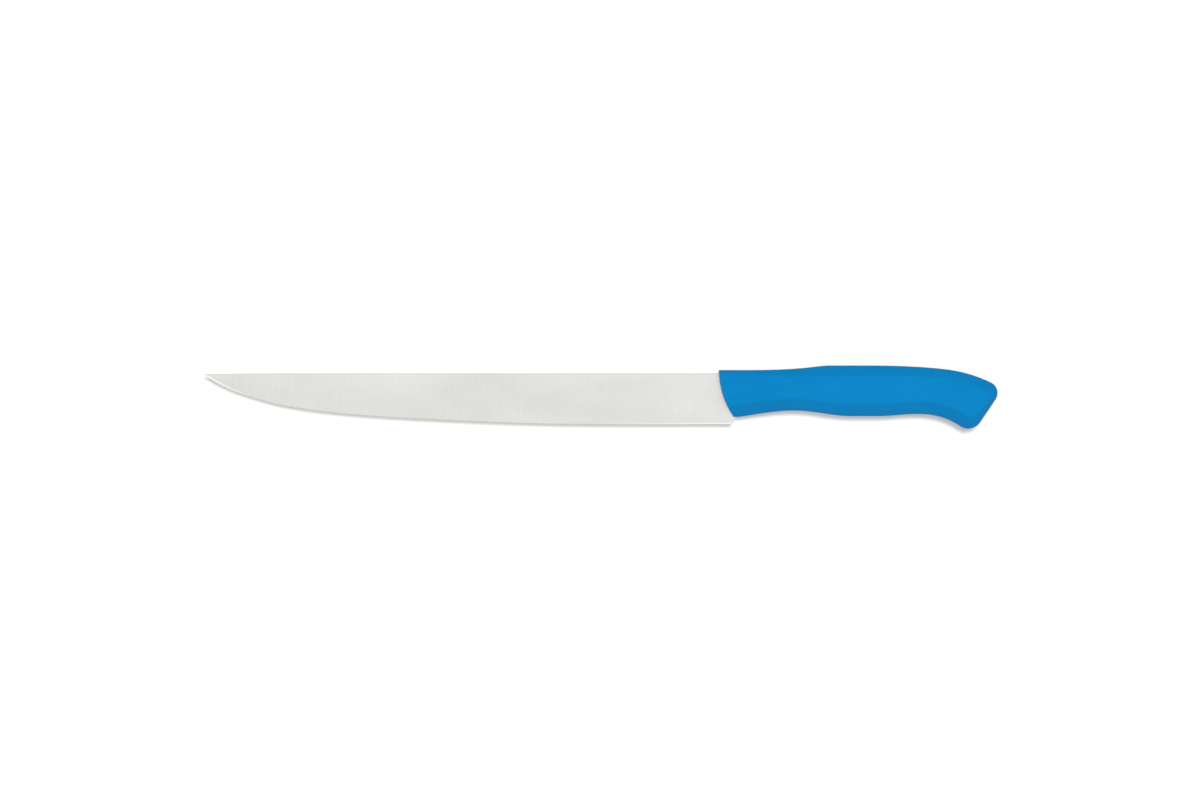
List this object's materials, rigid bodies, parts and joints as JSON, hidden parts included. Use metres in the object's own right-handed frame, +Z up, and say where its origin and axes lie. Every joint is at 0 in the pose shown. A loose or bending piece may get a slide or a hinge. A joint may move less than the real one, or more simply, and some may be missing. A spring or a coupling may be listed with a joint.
{
  "type": "fillet knife",
  "caption": "Fillet knife with a long, thin, taper-ground steel blade and a moulded plastic handle with faceted cheeks, a finger groove and a hooked butt.",
  "frame": {"origin": "on the table under the middle of the knife's box, with the knife lying on one cheek of its handle", "axes": "+X from the tip to the butt, +Y from the cutting edge to the spine, +Z up through the knife's thickness"},
  "size_m": [0.3756, 0.0298, 0.018],
  "materials": {
    "blade_steel": "satin",
    "handle_plastic": "satin"
  },
  "bodies": {
    "root": {"blade": "blade_steel", "handle": "handle_plastic"}
  },
  "joints": []
}
